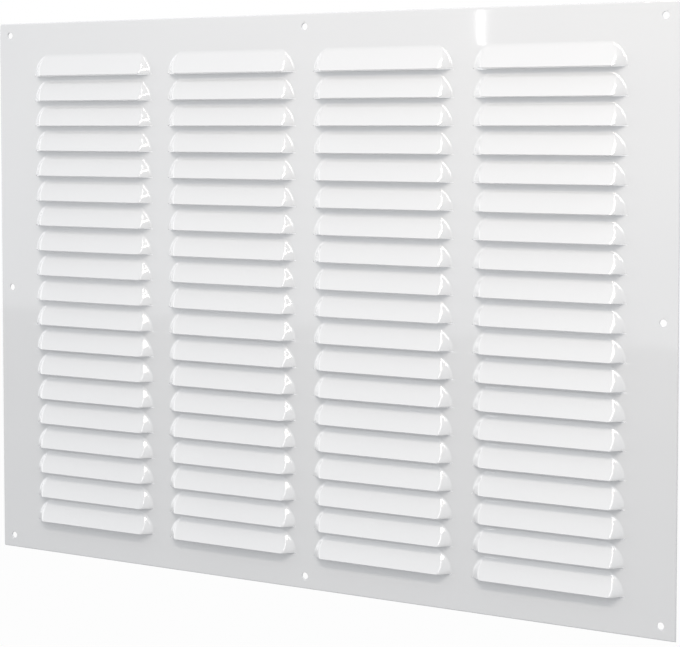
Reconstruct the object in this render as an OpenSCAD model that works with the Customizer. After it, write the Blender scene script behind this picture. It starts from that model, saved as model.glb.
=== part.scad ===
// Louvred ventilation grille pressed from one sheet.
// The panel stands upright: width along X, height along Z, front towards -Y.
// The origin is at the middle of the back face, which lies against the wall.

/* [Sheet] */
// Width of the panel
panel_w = 400; // [380:1:520]
// Height of the panel
panel_h = 300; // [290:1:420]
// Thickness of the sheet
sheet_t = 1; // [0.8:0.1:1.6]
// Radius worn onto the front edge by cutting and coating
edge_r = 0.7; // [0.3:0.1:0.7]

/* [Louvres] */
// Louvres side by side
columns = 4; // [1:1:4]
// Louvres one above another
rows = 19; // [2:1:19]
// Spacing of the columns
column_pitch = 90; // [82:0.5:92]
// Spacing of the rows
row_pitch = 14; // [13:0.1:14.5]
// Length of one louvre from tip to tip
louvre_len = 78; // [50:0.5:86]
// Height of one louvre from its lip to its upper bend
louvre_h = 11.5; // [9:0.1:12.5]
// How far the lip stands out from the front face
louvre_out = 5; // [3:0.1:6]
// Slope of the round ends, measured from the sheet
end_slope = 43; // [34:1:55]

/* [Bends] */
// Radius of the soft bend above each louvre
top_bend_r = 5; // [2:0.1:7]
// Width of the slit between a lip and the sheet below it
slit = 0.3; // [0.1:0.05:0.6]

/* [Fixing holes] */
// Diameter of the fixing holes
hole_d = 3.5; // [3:0.1:5]
// Hole centres from the sides of the panel
hole_side = 7.4; // [6:0.1:10]
// Hole centres from the top and bottom of the panel
hole_top = 6.8; // [5:0.1:9]

/* [Hidden] */
$fn = 48;

// Angle at which the upper bend runs out into the sheet
bend_runout = 8;
// How far the solids of a louvre reach into the sheet behind them
root = sheet_t / 2;

hole_x = panel_w / 2 - hole_side;
hole_y = panel_h / 2 - hole_top;
// The louvres are centred on the panel as one field
lip_low_y = -((rows - 1) * row_pitch + louvre_h) / 2;
first_column_x = -(columns - 1) * column_pitch / 2;

// Centre of the upper bend: height over the lip, distance from the front face
bend = [louvre_h + top_bend_r * sin(bend_runout), top_bend_r * cos(bend_runout)];
// Slope of the line that starts at the lip and just touches the upper bend
lip_to_bend = bend - [0, louvre_out];
face_slope = atan2(-lip_to_bend[1], lip_to_bend[0]) + asin(top_bend_r / norm(lip_to_bend));
face_end = bend - top_bend_r * [sin(face_slope), cos(face_slope)];

// The round ends reach a little higher than the face, so that they cross its
// upper bend at an angle and do not just touch it
end_spare = 0.5;
end_r = louvre_h + end_spare;
end_x = louvre_len / 2 - end_r;

// Section of the sloping face: height over the lip along X, distance from the
// sheet along Y. It runs down from the lip and fades into the sheet.
module face_section() {
    difference() {
        polygon([
            [0, -root],
            [0, louvre_out],
            face_end,
            [bend[0], face_end[1]],
            [bend[0], -root]
        ]);
        translate(bend) circle(r = top_bend_r);
    }
}

// Outline of a louvre: a straight middle between two cones, each turned so
// that the seam of its surface is inside
module louvre_outline() {
    cone_h = louvre_out + 2 * root;
    for (side = [0, 1])
        mirror([side, 0, 0])
            translate([-end_x, 0, -root])
                rotate([0, 0, 45])
                    cylinder(
                        h = cone_h,
                        r1 = end_r + root / tan(end_slope),
                        r2 = end_r - (cone_h - root) / tan(end_slope)
                    );
    translate([-end_x, 0, -root])
        cube([2 * end_x, louvre_h + top_bend_r, cone_h]);
}

// Solid form of one louvre, with its lip on the X axis and standing out along Z
module louvre_form() {
    intersection() {
        rotate([90, 0, 90])
            translate([0, 0, -louvre_len / 2])
                linear_extrude(height = louvre_len) face_section();
        louvre_outline();
    }
}

// Repeats a louvre shape over the whole field
module at_each_louvre() {
    for (column = [0 : columns - 1])
        for (row = [0 : rows - 1])
            translate([first_column_x + column * column_pitch, lip_low_y + row * row_pitch, 0])
                children();
}

// Section of the sheet across one of its sizes, with both front corners rounded
module sheet_section(width) {
    intersection() {
        translate([-width / 2, -sheet_t]) square([width, sheet_t]);
        union() {
            translate([-width / 2, -sheet_t]) square([width, sheet_t - edge_r]);
            translate([-width / 2 + edge_r, -sheet_t]) square([width - 2 * edge_r, sheet_t]);
            for (side = [-1, 1])
                translate([side * (width / 2 - edge_r), -edge_r]) circle(r = edge_r);
        }
    }
}

// Flat sheet with its front face on the plane Z = 0
module sheet() {
    intersection() {
        rotate([90, 0, 0])
            translate([0, 0, -panel_h / 2])
                linear_extrude(height = panel_h) sheet_section(panel_w);
        rotate([90, 0, 90])
            translate([0, 0, -panel_w / 2])
                linear_extrude(height = panel_w) sheet_section(panel_h);
    }
}

// Corner holes and one hole at the middle of each side
module fixing_holes() {
    for (i = [-1 : 1])
        for (j = [-1 : 1])
            if (i != 0 || j != 0)
                translate([i * hole_x, j * hole_y, -2 * sheet_t])
                    cylinder(h = 3 * sheet_t, d = hole_d);
}

// The hollow behind each louvre is the same form, one sheet thickness deeper
// and lower by the slit, so that it opens below the lip and through the back.
module louvre_panel() {
    color("whitesmoke")
        translate([0, -sheet_t, 0])
            rotate([90, 0, 0])
                difference() {
                    union() {
                        sheet();
                        at_each_louvre() louvre_form();
                    }
                    at_each_louvre()
                        translate([0, -slit, -sheet_t]) louvre_form();
                    fixing_holes();
                }
}

louvre_panel();
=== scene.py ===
import bpy
import bmesh
from math import asin, atan2, cos, hypot, radians, sin, tan
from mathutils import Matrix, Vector


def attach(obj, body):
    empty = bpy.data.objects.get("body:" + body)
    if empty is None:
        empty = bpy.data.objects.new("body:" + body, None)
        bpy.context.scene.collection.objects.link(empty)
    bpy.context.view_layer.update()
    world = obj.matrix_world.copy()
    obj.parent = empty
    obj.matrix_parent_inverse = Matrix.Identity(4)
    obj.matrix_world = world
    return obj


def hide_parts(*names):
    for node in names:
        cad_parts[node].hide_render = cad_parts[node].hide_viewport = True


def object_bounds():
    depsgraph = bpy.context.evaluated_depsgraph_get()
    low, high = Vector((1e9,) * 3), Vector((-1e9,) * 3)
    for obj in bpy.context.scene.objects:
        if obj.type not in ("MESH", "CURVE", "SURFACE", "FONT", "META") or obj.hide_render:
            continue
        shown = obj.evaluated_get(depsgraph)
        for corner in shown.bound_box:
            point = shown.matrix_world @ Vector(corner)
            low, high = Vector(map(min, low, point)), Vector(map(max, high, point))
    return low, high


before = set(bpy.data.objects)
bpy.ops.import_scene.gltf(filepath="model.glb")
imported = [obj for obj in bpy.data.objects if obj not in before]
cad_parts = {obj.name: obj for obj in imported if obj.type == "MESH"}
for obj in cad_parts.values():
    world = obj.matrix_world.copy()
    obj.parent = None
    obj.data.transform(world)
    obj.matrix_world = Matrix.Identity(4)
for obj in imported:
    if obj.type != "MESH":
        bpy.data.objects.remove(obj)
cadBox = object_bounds()
mm = 0.001  # the frame is in metres, the sizes below are in millimetres
close = 0.01  # places nearer to each other than this count as the same
print("frame loaded, box", [round(side / mm, 2) for side in cadBox[1] - cadBox[0]])


def clearSelection():
    if bpy.context.object and bpy.context.object.mode != "OBJECT":
        bpy.ops.object.mode_set(mode="OBJECT")
    bpy.ops.object.select_all(action="DESELECT")


def editMode():
    bpy.ops.object.mode_set(mode="EDIT")
    bpy.ops.mesh.select_all(action="SELECT")


def pick(kind, test):
    # selects the vertices, edges or faces whose corners all pass the test
    bpy.ops.mesh.select_mode(type=kind)
    bpy.ops.mesh.select_all(action="DESELECT")
    shape = bmesh.from_edit_mesh(bpy.context.object.data)
    if kind == "VERT":
        chosen = [v for v in shape.verts if test(v.co / mm)]
    else:
        items = shape.edges if kind == "EDGE" else shape.faces
        chosen = [item for item in items if all(test(v.co / mm) for v in item.verts)]
    for item in chosen:
        item.select_set(True)
    bmesh.update_edit_mesh(bpy.context.object.data)


def near(a, b):
    return abs(a - b) < close


def cut(place, outward):
    # cuts everything at a plane and deletes what lies outside it
    bpy.ops.mesh.select_all(action="SELECT")
    bpy.ops.mesh.bisect(
        plane_co=[part * mm for part in place], plane_no=outward, clear_outer=True,
        threshold=close / 10 * mm)


def extrude(x=0, y=0):
    bpy.ops.mesh.extrude_region_move(TRANSFORM_OT_translate={"value": (x * mm, y * mm, 0)})


def flattenToMiddle():
    # extrudes what is selected to the plane X = 0
    extrude()
    bpy.ops.transform.resize(value=(0, 1, 1), center_override=(0, 0, 0))


def frontUp():
    # turns every face so that the front of the lying sheet looks up
    bpy.ops.mesh.select_all(action="SELECT")
    bpy.ops.mesh.normals_make_consistent(inside=False)
    shape = bmesh.from_edit_mesh(bpy.context.object.data)
    if sum(face.normal.z * face.calc_area() for face in shape.faces) < 0:
        bpy.ops.mesh.flip_normals()


def useModifier(piece, kind, **settings):
    modifier = piece.modifiers.new(kind.title(), kind)
    for name, value in settings.items():
        setattr(modifier, name, value)
    bpy.ops.object.modifier_apply(modifier=modifier.name)


# one louvre and the piece of sheet round it, lying flat, front up and with the lip on the X axis
louvre = {
    "long": 78,  # from tip to tip
    "high": 11.5,  # from the lip to the upper bend
    "out": 5,  # how far the lip stands out
    "endSlope": 43,  # degrees, slope of the round ends
    "endSpare": 0.5,  # the ends reach this much higher than the face
    "endSteps": 16,  # straight steps in a quarter turn of an end
    "coneSpare": 1.1,  # the end's cone is this much taller than the lip, the face trims it
    "topBend": 5,  # radius of the soft bend over the face
    "runout": 8,  # degrees, where that bend meets the sheet
    "crease": 1.1,  # half the width of the bend between face and end
    "creaseStop": 1.5,  # the crease ends this far below the top of the face
    "creaseFade": 6,  # and grows narrower over this height
    "creaseTip": 3.2,  # from here up the crease is so narrow that its vertices are merged
    "tipLowest": 0.5,  # vertices nearer the sheet are not merged
    "tipMerge": 0.55,  # distance up to which they are
    "foot": 0.9,  # half the width of the bend between louvre and sheet
    "bendSteps": 4,  # straight steps in each bend
    "tipStep": 1,  # height of the step where the end fades out
    "slit": 0.3,  # opening under the lip
    "below": 1.25,  # sheet kept under the lip
    "margin": 0.1,  # how far past a border, or inside it, an edge is picked
    "columns": 4,
    "rows": 19,
    "columnPitch": 90,
    "rowPitch": 14,
}


def pressHalfLouvre(v):
    clearSelection()
    endRound = v["high"] + v["endSpare"]
    endMiddle = v["long"] / 2 - endRound
    coneTall = v["out"] * v["coneSpare"]
    coneTop = endRound - coneTall / tan(radians(v["endSlope"]))
    bendUp = v["high"] + v["topBend"] * sin(radians(v["runout"]))
    bendOut = v["topBend"] * cos(radians(v["runout"])) - v["out"]
    faceSlope = asin(v["topBend"] / hypot(bendUp, bendOut)) - atan2(bendOut, bendUp)
    faceTop = v["out"] / tan(faceSlope)
    cellTop = v["rowPitch"] - v["below"]
    slitEnd = v["long"] / 2 + v["foot"]

    bpy.ops.mesh.primitive_cone_add(
        vertices=4 * v["endSteps"], radius1=endRound * mm, radius2=coneTop * mm, depth=coneTall * mm,
        end_fill_type="NOTHING", location=(endMiddle * mm, 0, coneTall / 2 * mm))
    half = bpy.context.object
    bpy.ops.object.transform_apply()
    editMode()
    cut((endMiddle, 0, 0), (-1, 0, 0))
    cut((0, 0, 0), (0, -1, 0))
    cut((0, 0, v["out"]), (0, sin(faceSlope), cos(faceSlope)))

    # the sloping face, from the crease to the middle of the louvre
    def onFace(c):
        return near(c.z, v["out"] - c.y * tan(faceSlope))

    pick("EDGE", onFace)
    flattenToMiddle()
    pick("FACE", onFace)
    bpy.ops.mesh.dissolve_faces(use_verts=True)

    # the top step of the end joins the one below it, which leaves the bends more room
    pick("EDGE", lambda c: faceTop - v["tipStep"] < c.y < faceTop - v["margin"] and c.x > endMiddle)
    bpy.ops.mesh.dissolve_edges(use_verts=True)

    # sheet beside and above the louvre
    pick("VERT", lambda c: near(c.x, 0) and near(c.z, 0))
    extrude(y=cellTop - faceTop)
    extrude(x=slitEnd)
    extrude(x=v["columnPitch"] / 2 - slitEnd)
    extrude(y=-cellTop)
    pick("VERT", lambda c: near(c.y, 0) and near(c.z, 0) and c.x > endMiddle)
    bpy.ops.mesh.edge_face_add()
    pick("EDGE", lambda c: near(c.z, 0))
    bpy.ops.mesh.edge_face_add()
    frontUp()

    # the bend where the louvre leaves the sheet
    pick("EDGE", lambda c: near(c.z, 0) and c.y < faceTop + v["margin"] and c.x < slitEnd)
    bpy.ops.mesh.bevel(offset=v["foot"] * mm, segments=v["bendSteps"], clamp_overlap=False)

    # the crease between face and end, which grows narrower towards its top
    shape = bmesh.from_edit_mesh(half.data)
    width = shape.edges.layers.float.new("bevel_weight_edge")
    for edge in shape.edges:
        ends = [corner.co / mm for corner in edge.verts]
        left = faceTop - v["creaseStop"] - max(c.y for c in ends)
        if all(onFace(c) and c.x > endMiddle for c in ends) and left > 0:
            edge[width] = min(1, left / v["creaseFade"])
    bmesh.update_edit_mesh(half.data)
    bpy.ops.object.mode_set(mode="OBJECT")
    useModifier(
        half, "BEVEL", limit_method="WEIGHT", width=v["crease"] * mm, segments=v["bendSteps"],
        use_clamp_overlap=False)
    bpy.ops.object.mode_set(mode="EDIT")

    def atTip(c):
        return c.y > faceTop - v["creaseTip"] and c.z > v["tipLowest"] and c.x > endMiddle

    pick("VERT", atTip)
    bpy.ops.mesh.remove_doubles(threshold=v["tipMerge"] * mm)

    # sheet below the lip, which a slit parts from the louvre
    pick("EDGE", lambda c: near(c.y, 0) and near(c.z, 0) and c.x > slitEnd - v["margin"])
    extrude(y=-v["slit"])
    extrude(y=v["slit"] - v["below"])
    pick("EDGE", lambda c: near(c.x, slitEnd) and c.y < -v["slit"] / 2)
    flattenToMiddle()
    return half


def copyLouvres(half, v):
    clearSelection()
    half.select_set(True)
    bpy.context.view_layer.objects.active = half
    useModifier(half, "MIRROR", use_axis=(True, False, False), merge_threshold=close * mm)
    alongX, alongY = (v["columnPitch"] * mm, 0, 0), (0, v["rowPitch"] * mm, 0)
    for count, step in ((v["columns"], alongX), (v["rows"], alongY)):
        useModifier(
            half, "ARRAY", count=count, use_relative_offset=False, use_constant_offset=True,
            constant_offset_displace=step, use_merge_vertices=True, merge_threshold=close * mm)
    firstColumn = -(v["columns"] - 1) * v["columnPitch"] / 2
    firstLip = -((v["rows"] - 1) * v["rowPitch"] + v["high"]) / 2
    half.location = (firstColumn * mm, firstLip * mm, 0)
    bpy.ops.object.transform_apply()
    return half


louvreField = copyLouvres(pressHalfLouvre(louvre), louvre)
print("louvres pressed:", louvre["columns"] * louvre["rows"])


# flat border with its holes, and the thickness of the whole sheet
sheet = {
    "wide": (cadBox[1].x - cadBox[0].x) / mm,
    "tall": (cadBox[1].z - cadBox[0].z) / mm,
    "thick": 1,
    "edgeRound": 0.7,  # on the outer front edge
    "edgeSteps": 4,
    "cutRound": 0.12,  # coating on every cut edge
    "cutSteps": 2,
    "cutAngle": 60,  # degrees, sharper edges count as cut
    "smoothAngle": 40,  # degrees, sharper edges are not shaded smooth
    "normalWeight": 100,  # how much the large faces rule the shading
    "rim": 3,  # strip of faces inside the outer edge
    "hole": 3.5,  # across
    "holeFromSide": 7.4,
    "holeFromTop": 6.8,
    "holeSteps": 32,
}


def drill(x, y, v):
    # opens the flat face or faces round a point and fills them again round a circle
    shape = bmesh.from_edit_mesh(bpy.context.object.data)
    bpy.ops.mesh.select_mode(type="FACE")
    bpy.ops.mesh.select_all(action="DESELECT")
    corners = []
    for face in shape.faces:
        xs, ys = ([c.co[axis] / mm for c in face.verts] for axis in (0, 1))
        if min(xs) - close < x < max(xs) + close and min(ys) - close < y < max(ys) + close:
            face.select_set(True)
            corners += zip(xs, ys)
    bmesh.update_edit_mesh(bpy.context.object.data)
    bpy.ops.mesh.dissolve_faces()
    bpy.ops.mesh.delete(type="ONLY_FACE")
    bpy.ops.mesh.primitive_circle_add(
        vertices=v["holeSteps"], radius=v["hole"] / 2 * mm, location=(x * mm, y * mm, 0))
    low = [min(c[axis] for c in corners) - close for axis in (0, 1)]
    high = [max(c[axis] for c in corners) + close for axis in (0, 1)]
    pick("EDGE", lambda c: all(low[axis] < c[axis] < high[axis] for axis in (0, 1)))
    bpy.ops.mesh.fill()


def makePanel(panel, v):
    clearSelection()
    panel.select_set(True)
    bpy.context.view_layer.objects.active = panel
    editMode()
    bpy.ops.mesh.remove_doubles(threshold=close * mm)

    # flat border, drawn out of the field's edges in two steps
    reach = [max(abs(c.co[axis]) for c in panel.data.vertices) / mm for axis in (0, 1)]
    for inside in (v["rim"], 0):
        goal = (v["wide"] / 2 - inside, v["tall"] / 2 - inside)
        for side in (1, -1):
            pick("EDGE", lambda c: near(c.y, side * reach[1]))
            extrude(y=side * (goal[1] - reach[1]))
        for side in (1, -1):
            pick("EDGE", lambda c: near(c.x, side * reach[0]))
            extrude(x=side * (goal[0] - reach[0]))
        reach = goal
    frontUp()
    holeX = v["wide"] / 2 - v["holeFromSide"]
    holeY = v["tall"] / 2 - v["holeFromTop"]
    for x in (-holeX, 0, holeX):
        for y in (-holeY, 0, holeY):
            if x or y:
                drill(x, y, v)
    frontUp()
    bpy.ops.object.mode_set(mode="OBJECT")
    useModifier(panel, "SOLIDIFY", thickness=v["thick"] * mm, offset=-1, use_even_offset=True)

    # the inside of a crease may not stand out of the back face
    editMode()
    pick("VERT", lambda c: c.z < -v["thick"])
    bpy.ops.transform.resize(value=(1, 1, 0), center_override=(0, 0, -v["thick"] * mm))

    # the rounded front edge, then a thin round of coating on every other cut edge
    def onFrontEdge(c):
        atSide = near(abs(c.x), v["wide"] / 2) or near(abs(c.y), v["tall"] / 2)
        return near(c.z, 0) and atSide

    pick("EDGE", onFrontEdge)
    bpy.ops.mesh.bevel(offset=v["edgeRound"] * mm, segments=v["edgeSteps"])
    bpy.ops.mesh.select_all(action="DESELECT")
    shape = bmesh.from_edit_mesh(panel.data)
    for edge in shape.edges:
        edge.select_set(edge.calc_face_angle() > radians(v["cutAngle"]))
    bmesh.update_edit_mesh(panel.data)
    bpy.ops.mesh.bevel(offset=v["cutRound"] * mm, segments=v["cutSteps"])
    bpy.ops.object.mode_set(mode="OBJECT")

    # stood up against the wall, back face at Y = 0
    panel.rotation_euler = (radians(90), 0, 0)
    panel.location = (0, -v["thick"] * mm, 0)
    bpy.ops.object.transform_apply()
    bpy.ops.object.shade_smooth_by_angle(angle=radians(v["smoothAngle"]))
    useModifier(panel, "WEIGHTED_NORMAL", keep_sharp=True, weight=v["normalWeight"])
    return panel


panel = makePanel(louvreField, sheet)
panel.name = "pressedPanel"
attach(panel, "root")
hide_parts("louvre_panel")
print("panel made, triangles", sum(len(face.vertices) - 2 for face in panel.data.polygons))


# white coating: smooth and glossy, with a faint orange peel and slow waves of the sheet below it
coating = {
    "colour": (0.815, 0.815, 0.81, 1),
    "shade": (0.785, 0.785, 0.785, 1),  # the waves shift the colour towards this one
    "roughness": 0.16,
    "specular": 0.5,
    "coat": 1,
    "coatIor": 1.9,
    "coatRoughness": 0.04,
    "peelSize": 900,  # noise cells to the metre
    "peelDetail": 2,
    "peelHeight": 0.000004,  # metres
    "waveSize": 16,
    "waveDetail": 1,
    "waveHeight": 0.00035,
}


def node(tree, kind, x, y, **values):
    made = tree.nodes.new(kind)
    made.location = (x, y)
    for name, value in values.items():
        if name in made.inputs:
            made.inputs[name].default_value = value
        else:
            setattr(made, name, value)
    return made


def makeCoating(v):
    material = bpy.data.materials.new("glossCoating")
    material.use_nodes = True
    tree = material.node_tree
    shader = tree.nodes["Principled BSDF"]
    shader.inputs["Specular IOR Level"].default_value = v["specular"]
    shader.inputs["Roughness"].default_value = v["roughness"]
    shader.inputs["Coat Weight"].default_value = v["coat"]
    shader.inputs["Coat IOR"].default_value = v["coatIor"]
    shader.inputs["Coat Roughness"].default_value = v["coatRoughness"]
    place = node(tree, "ShaderNodeTexCoord", -1100, 0)
    waves = node(tree, "ShaderNodeTexNoise", -850, -350, Scale=v["waveSize"], Detail=v["waveDetail"])
    peel = node(tree, "ShaderNodeTexNoise", -850, -100, Scale=v["peelSize"], Detail=v["peelDetail"])
    blend = node(tree, "ShaderNodeMix", -500, 200, data_type="RGBA")
    blend.inputs["A"].default_value = v["colour"]
    blend.inputs["B"].default_value = v["shade"]
    waveBump = node(tree, "ShaderNodeBump", -500, -350, Strength=1, Distance=v["waveHeight"])
    peelBump = node(tree, "ShaderNodeBump", -250, -200, Strength=1, Distance=v["peelHeight"])
    for start, output, end, socket in (
        (place, "Object", waves, "Vector"),
        (place, "Object", peel, "Vector"),
        (waves, "Fac", blend, "Factor"),
        (waves, "Fac", waveBump, "Height"),
        (waveBump, "Normal", peelBump, "Normal"),
        (peel, "Fac", peelBump, "Height"),
        (blend, "Result", shader, "Base Color"),
        (peelBump, "Normal", shader, "Normal"),
    ):
        tree.links.new(start.outputs[output], end.inputs[socket])
    return material


panel.data.materials.clear()
panel.data.materials.append(makeCoating(coating))
print("coating on")


# floor far below the grille, and white all round it for the camera
surroundings = {
    "floorDrop": 650,
    "floorSize": 12,  # metres
    "floorColour": (0.45, 0.45, 0.45, 1),
    "white": (1, 1, 1, 1),
    "whiteShare": 0.97,  # how much of the floor is plain white to the camera
    "skyLight": (0.945, 0.965, 1, 1),
    "skyStrength": 0.87,
}


def makeSurroundings(v):
    clearSelection()
    floorHeight = cadBox[0].z - v["floorDrop"] * mm
    bpy.ops.mesh.primitive_plane_add(size=v["floorSize"], location=(0, 0, floorHeight))
    floor = bpy.context.object
    floor.name = "studioFloor"
    material = bpy.data.materials.new("studioFloor")
    material.use_nodes = True
    tree = material.node_tree
    tree.nodes.remove(tree.nodes["Principled BSDF"])
    output = tree.nodes["Material Output"]
    matt = node(tree, "ShaderNodeBsdfDiffuse", -300, 100, Color=v["floorColour"])
    glow = node(tree, "ShaderNodeEmission", -300, -100, Color=v["white"], Strength=1)
    seen = node(tree, "ShaderNodeLightPath", -800, 300)
    share = node(tree, "ShaderNodeMath", -500, 300, operation="MULTIPLY")
    share.inputs[1].default_value = v["whiteShare"]
    mixed = node(tree, "ShaderNodeMixShader", -100, 100)
    tree.links.new(seen.outputs["Is Camera Ray"], share.inputs[0])
    tree.links.new(share.outputs["Value"], mixed.inputs["Fac"])
    tree.links.new(matt.outputs["BSDF"], mixed.inputs[1])
    tree.links.new(glow.outputs["Emission"], mixed.inputs[2])
    tree.links.new(mixed.outputs["Shader"], output.inputs["Surface"])
    floor.data.materials.append(material)

    world = bpy.data.worlds.new("studio")
    bpy.context.scene.world = world
    world.use_nodes = True
    tree = world.node_tree
    lit = tree.nodes["Background"]
    lit.inputs["Color"].default_value = v["skyLight"]
    lit.inputs["Strength"].default_value = v["skyStrength"]
    white = node(tree, "ShaderNodeBackground", 0, -200, Color=v["white"], Strength=1)
    seen = node(tree, "ShaderNodeLightPath", 0, 400)
    mixed = node(tree, "ShaderNodeMixShader", 200, 100)
    tree.links.new(seen.outputs["Is Camera Ray"], mixed.inputs["Fac"])
    tree.links.new(lit.outputs["Background"], mixed.inputs[1])
    tree.links.new(white.outputs["Background"], mixed.inputs[2])
    tree.links.new(mixed.outputs["Shader"], tree.nodes["World Output"].inputs["Surface"])


makeSurroundings(surroundings)
print("floor and surroundings made")


# the key throws the shadows under the lips, the soft box lights the top of the sheet more than
# its foot, and mirror images of the tall strip and the small streak lamp are seen in the coating
lamps = {
    "keyBox": {
        "at": (200, -1100, 1250), "aim": (200, 0, 0),
        "size": (1000, 80), "watts": 2.9, "tint": (1, 0.97, 0.93),
    },
    "softBox": {
        "at": (280, -480, 400), "aim": (280, 0, 140),
        "size": (560, 60), "watts": 0.9, "tint": (1, 0.91, 0.81),
    },
    "leftBox": {
        "at": (-1400, -500, 300), "aim": (0, 0, 0),
        "size": (600, 1200), "watts": 2.3, "tint": (1, 1, 1),
    },
    "stripBox": {
        "at": (401, -1235, 750), "aim": (0, 0, 0),
        "size": (200, 900), "watts": 2.6, "tint": (1, 1, 1),
    },
    "streakBox": {
        "at": (-506, -1364, 245), "aim": (0, 0, 140),
        "size": (9, 80), "watts": 0.012, "tint": (1, 1, 1),
    },
}


def hangLamp(name, v):
    light = bpy.data.lights.new(name, "AREA")
    light.shape = "RECTANGLE"
    light.size, light.size_y = (side * mm for side in v["size"])
    light.energy = v["watts"]
    light.color = v["tint"]
    lamp = bpy.data.objects.new(name, light)
    bpy.context.scene.collection.objects.link(lamp)
    lamp.location = Vector(v["at"]) * mm
    lamp.rotation_euler = (Vector(v["aim"]) - Vector(v["at"])).to_track_quat("-Z", "Y").to_euler()


for lampName, lampValues in lamps.items():
    hangLamp(lampName, lampValues)
print("lamps hung:", ", ".join(lamps))


# camera right of the panel and a little above it
cameraPlace = {
    "at": (446.3, -783.1, 91.4),
    "down": 2.77,  # degrees
    "turned": 28.54,  # degrees to the left
    "lens": 92.1,
    "sensor": 36,
    "shift": -0.165,
}


def setCamera(v):
    view = bpy.data.cameras.new("mainView")
    view.lens = v["lens"]
    view.sensor_width = v["sensor"]
    view.shift_y = v["shift"]
    camera = bpy.data.objects.new("mainView", view)
    camera.location = Vector(v["at"]) * mm
    camera.rotation_euler = (radians(90 - v["down"]), 0, radians(v["turned"]))
    bpy.context.scene.collection.objects.link(camera)
    bpy.context.scene.camera = camera


setCamera(cameraPlace)
print("camera set")
bpy.context.scene.view_settings.view_transform = "Standard"
bpy.context.view_layer.update()
